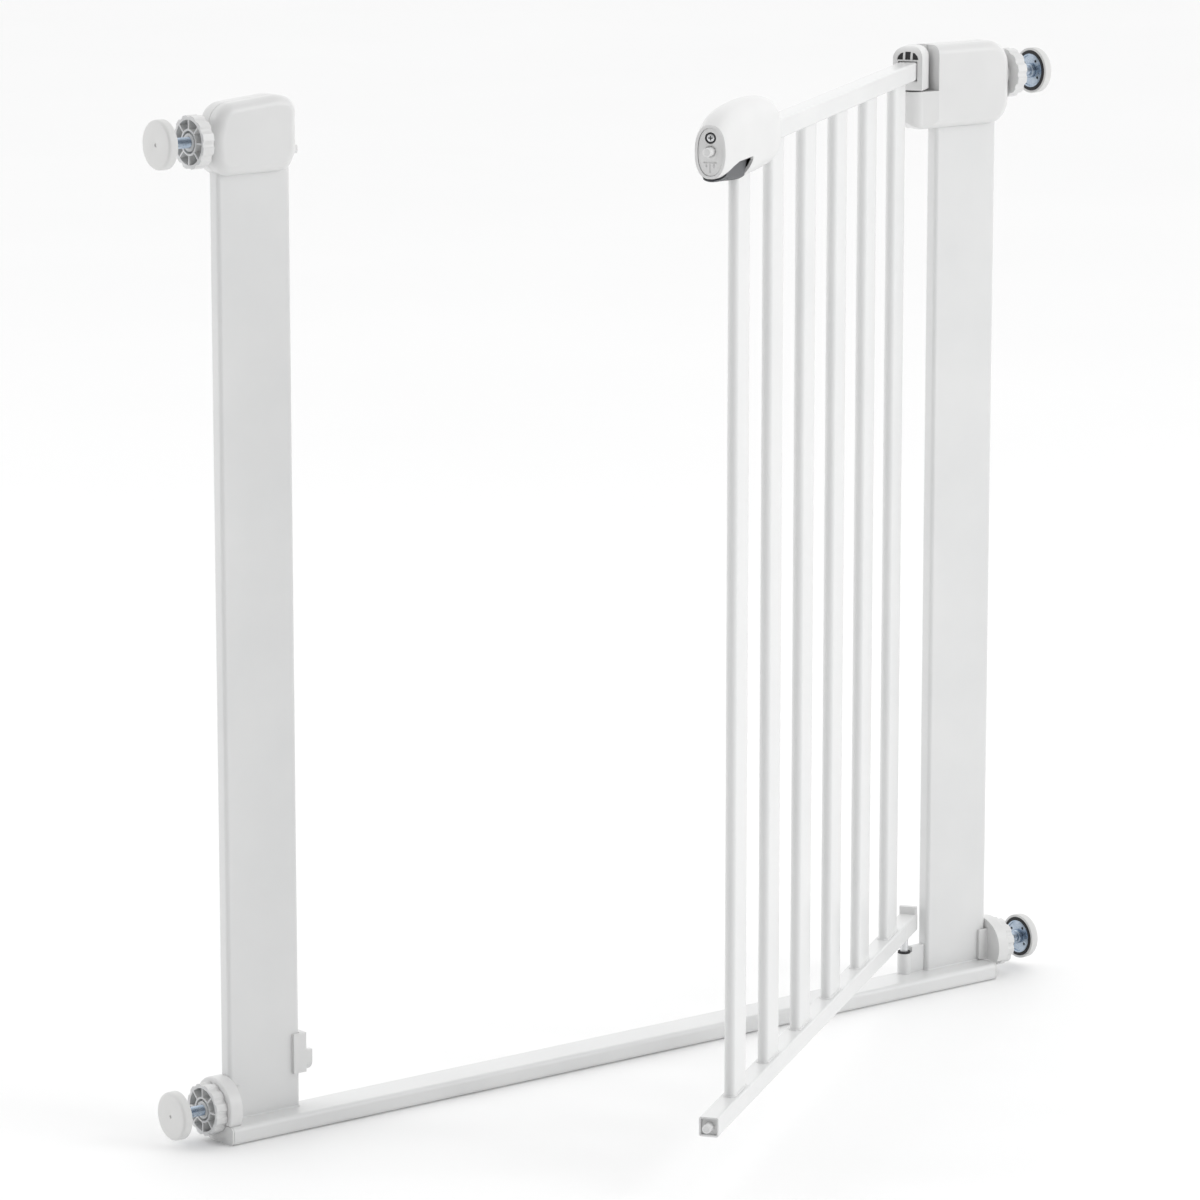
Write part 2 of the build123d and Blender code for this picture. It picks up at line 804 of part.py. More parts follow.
with BuildPart() as handle_shell:
    add(handle_loft(0, handle_start, handle_end).part)
    add(handle_loft(handle_wall, handle_start + handle_wall, handle_end).part, mode=Mode.SUBTRACT)
    # way for the rail through the inner end wall
    with BuildSketch(across_door(handle_start - 1, top_rail_middle)):
        Rectangle(rail_size + seat, rail_size + seat)
    extrude(amount=handle_wall + 3, mode=Mode.SUBTRACT)
    # long notch in the underside that the trigger shows through
    with BuildSketch(door_side(-20.0)):
        with BuildLine():
            Polyline(
                (-590.0, 700.0),
                (-528.0, 700.0),
                (-518.0, 717.5),
                (-519.5, 719.8),
                (-552.0, 719.8),
                (-563.0, 717.6),
                (-573.0, 713.8),
                (-578.0, 711.4),
                (-583.0, 710.9),
                (-590.0, 710.9),
                (-590.0, 700.0),
            )
        make_face()
    extrude(amount=40.0, mode=Mode.SUBTRACT)
    # way for the last upright bar
    with BuildSketch(on_door(Plane.XY.offset(top_rail_low - 20.0))):
        with Locations((first_bar + (bar_count - 1) * bar_pitch, 0)):
            SlotOverall(door_bar_width + 2 * seat, door_bar_depth + 2 * seat)
    extrude(amount=20.0, mode=Mode.SUBTRACT)


def handle_half(keep):
    with BuildPart() as piece:
        add(handle_shell.part)
        split(bisect_by=door_side(0), keep=keep)
    return piece


save(handle_half(Keep.TOP), "handle_front")
save(handle_half(Keep.BOTTOM), "handle_rear")

plate_section = handle_sections[-1]
with BuildPart() as end_plate:
    with BuildSketch(across_door(handle_end - 3.6, (plate_section[1] + plate_section[2]) / 2)):
        with BuildLine():
            Spline(
                oval_points(
                    plate_section[3] - handle_wall - seat,
                    (plate_section[2] - plate_section[1]) / 2 - handle_wall - seat,
                    plate_section[4],
                ),
                periodic=True,
            )
        make_face()
    extrude(amount=3.0)
    with BuildSketch(across_door(handle_end - 4.0, bolt_height)):
        Circle(bolt_radius + running)
    extrude(amount=5.0, mode=Mode.SUBTRACT)
    with BuildSketch(across_door(handle_end - 4.0, 738.4)):
        Circle(screw_radius + seat / 2)
    extrude(amount=5.0, mode=Mode.SUBTRACT)
    with BuildSketch(across_door(handle_end - 2.0, 738.4)):
        Circle(screw_head_radius + 0.9)
    extrude(amount=3.0, mode=Mode.SUBTRACT)
    with BuildSketch(across_door(handle_end - 1.6, bolt_height)):
        Circle(bolt_radius + 0.9)
    extrude(amount=3.0, mode=Mode.SUBTRACT)
    # shallow moulded mark under the bolt: a bar over a stem
    with BuildSketch(across_door(handle_end - 1.2, 720.5)):
        with Locations((0, 1.6)):
            Rectangle(9.0, 1.1)
        with Locations((0, -2.2)):
            Rectangle(1.1, 6.0)
        with Locations((-2.6, -0.4), (2.6, -0.4)):
            Rectangle(1.0, 2.4)
    extrude(amount=2.0, mode=Mode.SUBTRACT)
save(end_plate, "handle_end_plate")

screw_plane = on_door(Plane(origin=(handle_end - 0.8, 0, 738.4), x_dir=(0, 1, 0), z_dir=(-1, 0, 0)))
save(screw(screw_plane, screw_head_radius, 1.1, screw_radius, 18.0), "handle_screw")


def trigger_pivot(offset):
    return on_door(
        Plane(
            origin=(trigger_pivot_reach, offset, trigger_pivot_height),
            x_dir=(-1, 0, 0),
            z_dir=(0, 1, 0),
        )
    )


with BuildPart() as trigger_axle:
    with BuildSketch(trigger_pivot(-axle_half_length)):
        Circle(axle_radius)
    extrude(amount=2 * axle_half_length)
save(trigger_axle, "trigger_axle")

# ======================================================================= trigger
with BuildPart() as trigger:
    add(Location((0, 0, -trigger_drop)) * handle_loft(0, 518.0, 582.0).part)
    with BuildSketch(door_side(-trigger_half_width)):
        with BuildLine():
            Polyline(
                (-582.0, 700.0),
                (-530.0, 700.0),
                (-519.5, 718.5),
                (-520.5, 722.4),
                (-545.0, 722.4),
                (-558.0, 718.4),
                (-565.0, 715.8),
                (-572.0, 712.8),
                (-577.0, 710.6),
                (-582.0, 710.0),
                (-582.0, 700.0),
            )
        make_face()
    extrude(amount=2 * trigger_half_width, mode=Mode.INTERSECT)
    # hollow between the cheeks, under the rail
    with BuildSketch(door_side(-cheek_inside)):
        with Locations((-531.0, 719.5)):
            Rectangle(70.0, 20.0)
    extrude(amount=2 * cheek_inside, mode=Mode.SUBTRACT)
    with BuildSketch(trigger_pivot(-boss_half_width)):
        Circle(trigger_boss_radius)
    extrude(amount=2 * boss_half_width)
    # slot that clears the last upright bar
    with BuildSketch(on_door(Plane.XY.offset(top_rail_low - 20.0))):
        with Locations((514.0, 0)):
            Rectangle(26.8, 9.2)
    extrude(amount=24.0, mode=Mode.SUBTRACT)
    # wedge that reaches up through the rail and drives the bolt back
    with BuildSketch(door_side(-1.0)):
        with BuildLine():
            Polyline(
                (-528.6, 708.6),
                (-528.6, 721.2),
                (-536.0, 726.2),
                (-539.0, 726.2),
                (-539.0, 708.6),
                (-528.6, 708.6),
            )
        make_face()
    extrude(amount=2.0)
    with BuildSketch(trigger_pivot(-axle_half_length)):
        Circle(axle_radius + running)
    extrude(amount=2 * axle_half_length, mode=Mode.SUBTRACT)
save(trigger, "trigger")

spring_low = 710.2
spring_high = 720.5
spring_reach = 553.0
with BuildPart() as trigger_spring:
    with BuildLine():
        coil = Helix(2.3, spring_high - spring_low, 2.6)
    with BuildSketch(Plane(origin=coil @ 0, z_dir=coil % 0)):
        Circle(0.4)
    sweep(is_frenet=True)
spring_place = on_door(Plane(origin=(spring_reach, 0, spring_low), x_dir=(1, 0, 0), z_dir=(0, 0, 1)))
trigger_spring.part = spring_place.location * trigger_spring.part
save(trigger_spring, "trigger_spring")

# ======================================================================= bolt
with BuildPart() as latch_bolt:
    with BuildSketch(across_door(bolt_tail - 8.0, bolt_height)):
        Circle(bolt_radius)
    extrude(amount=bolt_tip - bolt_tail + 8.0)
    tip_face = latch_bolt.faces().sort_by(Axis((0, 0, 0), tuple(door.x_dir)))[-1]
    fillet(tip_face.edges(), 1.4)
    # slot that the trigger's wedge works in
    with BuildSketch(on_door(Plane.XY.offset(bolt_height - 5))):
        with Locations((540.8, 0)):
            Rectangle(13.6, 2.8)
    extrude(amount=10.0, mode=Mode.SUBTRACT)
save(latch_bolt, "latch_bolt")


# ======================================================================= wall fixings

def spindle(side, height):
    with BuildPart() as rod:
        with BuildSketch(toward_wall(side, spindle_tip, height)):
            Circle(spindle_radius)
        extrude(amount=spindle_shoulder - spindle_tip)
        with BuildSketch(toward_wall(side, spindle_shoulder, height)):
            Circle(5.6)
        extrude(amount=plate_back - spindle_shoulder)
        with BuildSketch(toward_wall(side, plate_back, height)):
            Circle(3.0)
        extrude(amount=2.0)
    return rod


def hand_wheel(side, height):
    """Scalloped nut, open to the wall, with ribs from its hub to its rim."""
    with BuildPart() as wheel:
        with BuildSketch(toward_wall(side, wheel_back, height)):
            Circle(wheel_radius)
            with PolarLocations(wheel_radius + 2.4, 12):
                Circle(3.6, mode=Mode.SUBTRACT)
        extrude(amount=wheel_face - wheel_back)
        with BuildSketch(toward_wall(side, wheel_back + 2.0, height)):
            Circle(wheel_radius - 3.0)
            Circle(9.4, mode=Mode.SUBTRACT)
            with PolarLocations(12.6, 8):
                Rectangle(7.0, 1.2, mode=Mode.SUBTRACT)
        extrude(amount=wheel_face - wheel_back, mode=Mode.SUBTRACT)
        with BuildSketch(toward_wall(side, wheel_back + 5.0, height)):
            Circle(8.0)
            Circle(6.4, mode=Mode.SUBTRACT)
        extrude(amount=wheel_face - wheel_back, mode=Mode.SUBTRACT)
        with BuildSketch(toward_wall(side, wheel_back - 1.0, height)):
            Circle(spindle_radius + running)
        extrude(amount=20.0, mode=Mode.SUBTRACT)
    return wheel


def pad_plate(side, height):
    """Pressed steel disc with a raised rim and four small holes."""
    with BuildPart() as plate:
        with BuildSketch(toward_wall(side, plate_back, height)):
            Circle(plate_radius)
        extrude(amount=1.2)
        with BuildSketch(toward_wall(side, plate_back - 0.9, height)):
            Circle(plate_radius)
            Circle(plate_radius - 1.2, mode=Mode.SUBTRACT)
        extrude(amount=0.9)
        with BuildSketch(toward_wall(side, plate_back - 1.0, height)):
            Circle(3.0)
            with PolarLocations(9.0, 4, start_angle=35):
                Circle(1.1)
        extrude(amount=3.0, mode=Mode.SUBTRACT)
    return plate


def pad_ring(side, height):
    """Rubber cup that grips the plate's edge."""
    with BuildPart() as ring:
        with BuildSketch(toward_wall(side, pad_back - 0.2, height)):
            Circle(ring_radius)
            Circle(plate_radius + 0.1, mode=Mode.SUBTRACT)
        extrude(amount=3.2)
        with BuildSketch(toward_wall(side, pad_back + 3.0, height)):
            Circle(ring_radius)
        extrude(amount=2.2)
    return ring


def pad_cap(side, height):
    """Wall pad: a shallow cup, flat on the wall, with a small dimple at its centre."""
    with BuildPart() as cap:
        with BuildSketch(toward_wall(side, pad_back, height)):
            Circle(pad_radius)
        extrude(amount=pad_face - pad_back)
        fillet(cap.faces().sort_by(Axis.X)[0 if side < 0 else -1].edges(), 1.2)
        with BuildSketch(toward_wall(side, pad_back, height)):
            Circle(ring_radius + 0.1)
        extrude(amount=5.3, mode=Mode.SUBTRACT)
        with BuildSketch(toward_wall(side, pad_face - 1.0, height)):
            Circle(1.3)
        extrude(amount=2.0, mode=Mode.SUBTRACT)
    return cap


corners = (
    ("top_left", -1, spindle_high),
    ("bottom_left", -1, spindle_low),
    ("top_right", 1, spindle_high),
    ("bottom_right", 1, spindle_low),
)
for place, side, height in corners:
    save(spindle(side, height), f"spindle_{place}")
    save(hand_wheel(side, height), f"hand_wheel_{place}")
    save(pad_plate(side, height), f"pad_plate_{place}")
    save(pad_ring(side, height), f"pad_ring_{place}")
    save(pad_cap(side, height), f"wall_pad_{place}")
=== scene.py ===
import json
import math

import bmesh
import bpy
from mathutils import Matrix, Vector, noise


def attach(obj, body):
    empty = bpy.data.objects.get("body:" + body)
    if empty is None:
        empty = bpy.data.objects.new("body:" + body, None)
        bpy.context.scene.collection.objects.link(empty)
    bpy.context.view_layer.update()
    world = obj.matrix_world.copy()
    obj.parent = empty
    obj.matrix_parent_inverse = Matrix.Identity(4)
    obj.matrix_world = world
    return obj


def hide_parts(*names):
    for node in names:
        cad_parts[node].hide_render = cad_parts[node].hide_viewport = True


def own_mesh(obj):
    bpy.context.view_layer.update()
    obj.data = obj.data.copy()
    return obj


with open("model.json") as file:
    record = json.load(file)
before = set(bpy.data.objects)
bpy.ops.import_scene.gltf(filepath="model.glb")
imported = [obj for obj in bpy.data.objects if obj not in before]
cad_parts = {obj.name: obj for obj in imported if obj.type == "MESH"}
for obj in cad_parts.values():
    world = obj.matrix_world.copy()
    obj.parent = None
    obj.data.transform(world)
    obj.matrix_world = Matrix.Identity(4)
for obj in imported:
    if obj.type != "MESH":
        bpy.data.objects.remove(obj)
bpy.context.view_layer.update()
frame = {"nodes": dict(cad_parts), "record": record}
nodes = frame["nodes"]

# ------------------------------------------------------------------ sizes, in millimetres
MM = 0.001
POST_MIDDLE = 334.5
POST_WIDTH = 62.0
POST_DEPTH = 11.5
POST_CORNER = 3.0
BAR_TOP = 13.2
HINGE_X = 284.5
DOOR_ANGLE = math.radians(35.0)
SPINDLE_HIGH = 719.2
SPINDLE_LOW = 23.5
BAR_COUNT = 6
DOOR_BARS = [56.2 + 90.4 * index for index in range(BAR_COUNT)]
SLAT_SPREAD = 13.6
SLAT_ROUND = 3.9
BOTTOM_RAIL_TOP = 58.5
TOP_RAIL_BOTTOM = 721.0
HANDLE_START = 438.0

CORNERS = (
    ("top_left", -1, SPINDLE_HIGH),
    ("bottom_left", -1, SPINDLE_LOW),
    ("top_right", 1, SPINDLE_HIGH),
    ("bottom_right", 1, SPINDLE_LOW),
)

DOOR = Matrix((
    (-math.cos(DOOR_ANGLE), math.sin(DOOR_ANGLE), 0, HINGE_X),
    (-math.sin(DOOR_ANGLE), -math.cos(DOOR_ANGLE), 0, 0),
    (0, 0, 1, 0),
    (0, 0, 0, 1),
))


def toward_wall(side, height):
    """Local x runs along the spindle towards the wall; y and z lie across it."""
    return Matrix((
        (side, 0, 0, 0),
        (0, side, 0, 0),
        (0, 0, 1, height),
        (0, 0, 0, 1),
    ))


# ------------------------------------------------------------------ materials

def new_material(name):
    material = bpy.data.materials.new(name)
    material.use_nodes = True
    tree = material.node_tree
    return material, tree, tree.nodes["Principled BSDF"]


def ramp_between(tree, source, low, high):
    """Map a value from 0 to 1 onto the span from low to high."""
    node = tree.nodes.new("ShaderNodeMapRange")
    node.inputs["To Min"].default_value = low
    node.inputs["To Max"].default_value = high
    tree.links.new(source, node.inputs["Value"])
    return node.outputs["Result"]


def texture_noise(tree, scale, detail=3.0, stretch=(1, 1, 1)):
    place = tree.nodes.new("ShaderNodeTexCoord")
    mapping = tree.nodes.new("ShaderNodeMapping")
    mapping.inputs["Scale"].default_value = stretch
    tree.links.new(place.outputs["Object"], mapping.inputs["Vector"])
    node = tree.nodes.new("ShaderNodeTexNoise")
    node.inputs["Scale"].default_value = scale
    node.inputs["Detail"].default_value = detail
    tree.links.new(mapping.outputs["Vector"], node.inputs["Vector"])
    return node.outputs["Fac"]


def mix_colours(tree, factor, dark, light):
    node = tree.nodes.new("ShaderNodeValToRGB")
    node.color_ramp.elements[0].position = 0.3
    node.color_ramp.elements[1].position = 0.7
    node.color_ramp.elements[0].color = (*dark, 1)
    node.color_ramp.elements[1].color = (*light, 1)
    tree.links.new(factor, node.inputs["Fac"])
    return node.outputs["Color"]


def surface(name, dark, light, rough, grain, grain_height, metallic=0.0, coat=0.0, patch=18.0,
            stretch=(1, 1, 1)):
    """A finish with patchy colour, uneven gloss and a fine surface grain."""
    material, tree, shader = new_material(name)
    patches = texture_noise(tree, patch, 4.0, stretch)
    fine = texture_noise(tree, grain, 2.0, stretch)
    tree.links.new(mix_colours(tree, patches, dark, light), shader.inputs["Base Color"])
    tree.links.new(ramp_between(tree, patches, rough[0], rough[1]), shader.inputs["Roughness"])
    bump = tree.nodes.new("ShaderNodeBump")
    bump.inputs["Strength"].default_value = 0.35
    bump.inputs["Distance"].default_value = grain_height
    tree.links.new(fine, bump.inputs["Height"])
    tree.links.new(bump.outputs["Normal"], shader.inputs["Normal"])
    shader.inputs["Metallic"].default_value = metallic
    shader.inputs["Coat Weight"].default_value = coat
    shader.inputs["Coat Roughness"].default_value = 0.12
    return material


MATERIALS = {
    "white_coat": surface(
        "white_powder_coat", (0.715, 0.72, 0.72), (0.745, 0.748, 0.746), (0.26, 0.38), 900.0, 0.00012,
        coat=0.25,
    ),
    "white_plastic": surface(
        "white_moulding", (0.71, 0.712, 0.71), (0.745, 0.745, 0.742), (0.30, 0.42), 2600.0, 0.00006,
        coat=0.1,
    ),
    "zinc": surface(
        "zinc_plate", (0.30, 0.37, 0.46), (0.50, 0.57, 0.655), (0.18, 0.34), 1400.0, 0.00005,
        metallic=1.0, patch=120.0,
    ),
    "bright_screw": surface(
        "bright_screw", (0.66, 0.67, 0.68), (0.80, 0.81, 0.82), (0.34, 0.5), 1600.0, 0.00005,
        metallic=1.0, patch=200.0,
    ),
    "grey_plastic": surface(
        "dark_grey_moulding", (0.055, 0.058, 0.064), (0.085, 0.09, 0.098), (0.38, 0.55), 3200.0,
        0.00008,
    ),
    "black_rubber": surface(
        "black_rubber", (0.018, 0.018, 0.02), (0.035, 0.035, 0.038), (0.6, 0.8), 2200.0, 0.0001,
    ),
    "black_plastic": surface(
        "black_moulding", (0.012, 0.012, 0.013), (0.026, 0.026, 0.028), (0.32, 0.5), 3000.0, 0.00006,
    ),
    "pad_rubber": surface(
        "white_pad_rubber", (0.67, 0.67, 0.665), (0.72, 0.72, 0.712), (0.48, 0.62), 2400.0, 0.0001,
    ),
}

SLOTS = {entry["node"]: entry["material_slot"] for entry in frame["record"]["subparts"]}


# ------------------------------------------------------------------ mesh helpers

def paint(obj, slot):
    obj.data.materials.clear()
    obj.data.materials.append(MATERIALS[slot])


def finish_mesh(name, builder, slot, body, node=None, bevel=0.0, angle=35.0):
    """Turn a bmesh into a shaded object that rides on its body and may stand for a CAD node."""
    bmesh.ops.recalc_face_normals(builder, faces=builder.faces)
    mesh = bpy.data.meshes.new(name)
    builder.to_mesh(mesh)
    builder.free()
    obj = bpy.data.objects.new(name, mesh)
    bpy.context.scene.collection.objects.link(obj)
    paint(obj, slot)
    smooth(obj, bevel, angle)
    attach(obj, body)
    if node:
        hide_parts(*([node] if isinstance(node, str) else node))
    return obj


def smooth(obj, bevel=0.0, angle=35.0):
    mesh = obj.data
    mesh.shade_smooth()
    mesh.set_sharp_from_angle(angle=math.radians(angle))
    if bevel:
        edge = obj.modifiers.new("edge", "BEVEL")
        edge.width = bevel * MM
        edge.segments = 3
        edge.limit_method = "ANGLE"
        edge.angle_limit = math.radians(angle)
        edge.harden_normals = True
        edge.use_clamp_overlap = True


def rounded_rectangle(width, height, radius, steps=8):
    points = []
    for quarter in range(4):
        centre = (
            (width / 2 - radius) * (1 if quarter in (0, 3) else -1),
            (height / 2 - radius) * (1 if quarter in (0, 1) else -1),
        )
        for step in range(steps + 1):
            turn = math.pi / 2 * (quarter + step / steps)
            points.append((
                centre[0] + radius * math.cos(turn),
                centre[1] + radius * math.sin(turn),
            ))
    return points


def ring(builder, points, where):
    return [builder.verts.new(where @ Vector(point) * MM) for point in points]


def skin(builder, rings, close_ends=True):
    """Quads between rings of equal length, with a face over each end."""
    for first, second in zip(rings, rings[1:]):
        count = len(first)
        for index in range(count):
            after = (index + 1) % count
            builder.faces.new((first[index], first[after], second[after], second[index]))
    if close_ends:
        builder.faces.new(rings[0])
        builder.faces.new(rings[-1])


def bar_along_z(name, outline, low, high, where, slot, body, node, steps):
    """An upright tube of one section, with enough rings along it for its bump to sit well."""
    builder = bmesh.new()
    rings = []
    for step in range(steps + 1):
        height = low + (high - low) * step / steps
        rings.append(ring(builder, [(x, y, height) for x, y in outline], where))
    skin(builder, rings)
    return finish_mesh(name, builder, slot, body, node)


def lathe(builder, profile, where, count, closed=False):
    """Revolve (along, radius) points about local x; closed joins the last point to the first."""
    rings = []
    for along, radius in profile:
        points = []
        for step in range(count):
            turn = 2 * math.pi * step / count
            points.append((along, radius * math.cos(turn), radius * math.sin(turn)))
        rings.append(ring(builder, points, where))
    skin(builder, rings + rings[:1] if closed else rings, close_ends=not closed)


def weld_bead(builder, path, where, radius, beads=1.1):
    """A thin rippled bead laid round a closed path of points."""
    total = []
    for first, second in zip(path, path[1:] + path[:1]):
        gap = (Vector(second) - Vector(first)).length
        count = max(1, int(gap / beads))
        total += [Vector(first).lerp(Vector(second), step / count) for step in range(count)]
    rings = []
    for index, point in enumerate(total):
        before, after = total[index - 1], total[(index + 1) % len(total)]
        along = (after - before).normalized()
        up = Vector((0, 0, 1)) if abs(along.z) < 0.8 else Vector((1, 0, 0))
        side = along.cross(up).normalized()
        lift = side.cross(along)
        size = radius * (0.85 + 0.3 * noise.noise(point * 0.9) + 0.15 * (index % 2))
        points = []
        for step in range(8):
            turn = 2 * math.pi * step / 8
            points.append(point + side * size * math.cos(turn) + lift * size * math.sin(turn))
        rings.append(ring(builder, points, where))
    skin(builder, rings + [rings[0]], close_ends=False)


# ------------------------------------------------------------------ door bars

def slat_outline():
    """Flat oval: two half circles a straight side apart."""
    points = []
    for quarter in range(2):
        centre = SLAT_SPREAD * (1 if quarter == 0 else -1)
        for step in range(17):
            turn = math.pi * (step / 16 - 0.5 + quarter)
            points.append((centre + SLAT_ROUND * math.cos(turn), SLAT_ROUND * math.sin(turn)))
    return points


slat = slat_outline()
for index, reach in enumerate(DOOR_BARS):
    node = f"door_bar_{BAR_COUNT - index}"
    where = DOOR @ Matrix.Translation((reach, 0, 0))
    bar_along_z(
        f"vis_{node}", slat, BOTTOM_RAIL_TOP, TOP_RAIL_BOTTOM, where, "white_coat", "door", node, 40,
    )

# ------------------------------------------------------------------ weld beads
beads = bmesh.new()
for reach in DOOR_BARS:
    # the handle hides the top joint of the last bar
    heights = [BOTTOM_RAIL_TOP + 0.2]
    if reach < HANDLE_START:
        heights.append(TOP_RAIL_BOTTOM - 0.2)
    for height in heights:
        path = [(x * 1.01, y * 1.02, 0) for x, y in slat[::2]]
        weld_bead(beads, path, DOOR @ Matrix.Translation((reach, 0, height)), 0.75)
finish_mesh("weld_beads_door", beads, "white_coat", "door")
beads = bmesh.new()
post_outline = rounded_rectangle(POST_WIDTH, POST_DEPTH, POST_CORNER)
for side in (-1, 1):
    path = [(x, y, 0) for x, y in post_outline[::3]]
    weld_bead(beads, path, Matrix.Translation((side * POST_MIDDLE, 0, BAR_TOP + 0.1)), 0.95)
finish_mesh("weld_beads_posts", beads, "white_coat", "frame")


# ------------------------------------------------------------------ wall fixings

def threaded_rod(builder, start, end, where, radius=4.0, pitch=1.25, depth=0.62, count=28):
    steps = 6
    rings = []
    turns = int((end - start) / pitch * steps)
    for index in range(turns + 1):
        along = start + (end - start) * index / turns
        fade = min(1.0, (along - start) / 1.5, (end - along) / 1.5)
        points = []
        for step in range(count):
            phase = (along / pitch + step / count) % 1.0
            ridge = 1 - abs(2 * phase - 1)
            size = radius - depth * (1 - ridge) * max(fade, 0) - 0.35 * (1 - max(fade, 0))
            turn = 2 * math.pi * step / count
            points.append((along, size * math.cos(turn), size * math.sin(turn)))
        rings.append(ring(builder, points, where))
    skin(builder, rings)


ROD_START = 330.0
SHOULDER = 403.05
PAD_PROFILE = [
    (405.8, 15.75), (405.8, 17.3), (406.1, 17.6), (410.6, 17.6), (411.6, 17.45), (412.4, 17.0),
    (412.85, 16.3), (413.0, 15.4), (413.0, 2.0), (412.9, 1.5), (412.3, 1.3), (412.0, 1.25),
    (412.0, 0.01), (411.2, 0.01), (411.2, 15.5), (405.9, 15.72),
]
RING_PROFILE = [
    (405.6, 13.15), (405.4, 13.6), (405.4, 15.0), (405.7, 15.5), (406.2, 15.6), (411.0, 15.6),
    (411.0, 0.01), (408.9, 0.01), (408.9, 13.1), (405.8, 13.1),
]
for place, side, height in CORNERS:
    where = toward_wall(side, height)
    body = f"spindle_{place}"
    builder = bmesh.new()
    threaded_rod(builder, ROD_START, SHOULDER, where)
    lathe(builder, [(SHOULDER, 0.01), (SHOULDER, 4.6), (403.3, 5.25), (403.8, 5.6), (405.9, 5.6),
                    (406.3, 5.2), (406.3, 0.01)], where, 48)
    finish_mesh(f"vis_spindle_{place}", builder, "zinc", body, f"spindle_{place}", angle=50)
    builder = bmesh.new()
    lathe(builder, PAD_PROFILE, where, 72, closed=True)
    finish_mesh(f"vis_wall_pad_{place}", builder, "pad_rubber", body, f"wall_pad_{place}")
    builder = bmesh.new()
    lathe(builder, RING_PROFILE, where, 72, closed=True)
    finish_mesh(f"vis_pad_ring_{place}", builder, "black_rubber", body, f"pad_ring_{place}")

# ------------------------------------------------------------------ screw in the handle's end face

def cross_outline(scale, length=1.55, half_width=0.42, count=96):
    """Outline of a cross recess as (turn, radius) pairs."""
    points = []
    for step in range(count):
        turn = 2 * math.pi * step / count
        across, up = max(abs(math.cos(turn)), 1e-6), max(abs(math.sin(turn)), 1e-6)
        level = min(length / across, half_width / up)
        upright = min(half_width / across, length / up)
        points.append((turn, max(level, upright) * scale))
    return points


def turned_ring(builder, along, outline, where):
    points = [(along, size * math.cos(turn), size * math.sin(turn)) for turn, size in outline]
    return ring(builder, points, where)


def round_outline(radius, count=96):
    return [(2 * math.pi * step / count, radius) for step in range(count)]


SCREW_HEIGHT = 738.4
where = DOOR @ Matrix.Translation((0, 0, SCREW_HEIGHT))
builder = bmesh.new()
rings = []
for along, radius in ((563.2, 0.01), (563.2, 0.9), (565.0, 1.5), (581.1, 1.5), (581.1, 2.6),
                      (581.7, 2.68), (582.0, 2.55), (582.18, 2.2)):
    rings.append(turned_ring(builder, along, round_outline(radius), where))
rings.append(turned_ring(builder, 582.2, cross_outline(1.0), where))
rings.append(turned_ring(builder, 581.6, cross_outline(0.9), where))
rings.append(turned_ring(builder, 581.5, round_outline(0.01), where))
skin(builder, rings)
screw = finish_mesh("vis_handle_screw", builder, "zinc", "door", "handle_screw", angle=28)
paint(screw, "bright_screw")

# painted shade: a black sheet laid inside the cross recess of the screw head stands in for the shade
# that falls in the recess
builder = bmesh.new()
skin(builder, [
    turned_ring(builder, 582.05, cross_outline(0.99), where),
    turned_ring(builder, 582.05, cross_outline(0.5), where),
    turned_ring(builder, 581.95, round_outline(0.01), where),
    turned_ring(builder, 581.7, cross_outline(0.4), where),
    turned_ring(builder, 581.7, cross_outline(0.93), where),
    turned_ring(builder, 582.05, cross_outline(0.99), where),
], close_ends=False)
finish_mesh("handle_screw_recess_painted_shade", builder, "black_plastic", "door")

# painted shade: a black ring laid in the gap between the screw head and its counterbore stands in for
# the shade in that gap, not a rubber seal
SCREW_GAP_SHADE_PROFILE = [
    (581.15, 2.82), (581.6, 2.8), (581.85, 2.95), (581.95, 3.25), (581.85, 3.6), (581.6, 3.75),
    (581.15, 3.78),
]
builder = bmesh.new()
lathe(builder, SCREW_GAP_SHADE_PROFILE, where, 64, closed=True)
finish_mesh("handle_screw_gap_painted_shade", builder, "black_rubber", "door")

# ------------------------------------------------------------------ trigger spring
SPRING_LOW = 710.62
SPRING_HIGH = 720.08
SPRING_TURNS = 5.5
SPRING_COIL = 2.6
SPRING_WIRE = 0.38
SPRING_STEPS = 220
SPRING_REACH = 553.0
where = DOOR @ Matrix.Translation((SPRING_REACH, 0, 0))
builder = bmesh.new()
path = []
for step in range(SPRING_STEPS + 1):
    share = step / SPRING_STEPS
    turn = 2 * math.pi * SPRING_TURNS * share
    # the end turns lie close together
    rise = min(max((share * SPRING_TURNS - 0.75) / (SPRING_TURNS - 1.5), 0), 1)
    rise = 0.06 * share + 0.94 * rise
    height = SPRING_LOW + (SPRING_HIGH - SPRING_LOW) * rise
    path.append(Vector((SPRING_COIL * math.cos(turn), SPRING_COIL * math.sin(turn), height)))
rings = []
for index, point in enumerate(path):
    along = (path[min(index + 1, SPRING_STEPS)] - path[max(index - 1, 0)]).normalized()
    outward = Vector((point.x, point.y, 0)).normalized()
    lift = along.cross(outward).normalized()
    outward = lift.cross(along)
    rings.append(ring(builder, [
        point + (outward * math.cos(angle) + lift * math.sin(angle)) * SPRING_WIRE
        for angle in (2 * math.pi * corner / 12 for corner in range(12))
    ], where))
skin(builder, rings)
spring = finish_mesh("vis_trigger_spring", builder, "zinc", "door", "trigger_spring", angle=60)
paint(spring, "bright_screw")
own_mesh(spring)

# ------------------------------------------------------------------ CAD pieces shown as they are
BRIGHT = ("housing_screws", "cradle_rivets", "lower_hinge_pin")
shown_as_built = [name for name in nodes if not nodes[name].hide_render]
for name in shown_as_built:
    paint(nodes[name], "bright_screw" if name in BRIGHT else SLOTS[name])
    smooth(nodes[name], 0.35, 32.0)

# ------------------------------------------------------------------ stage

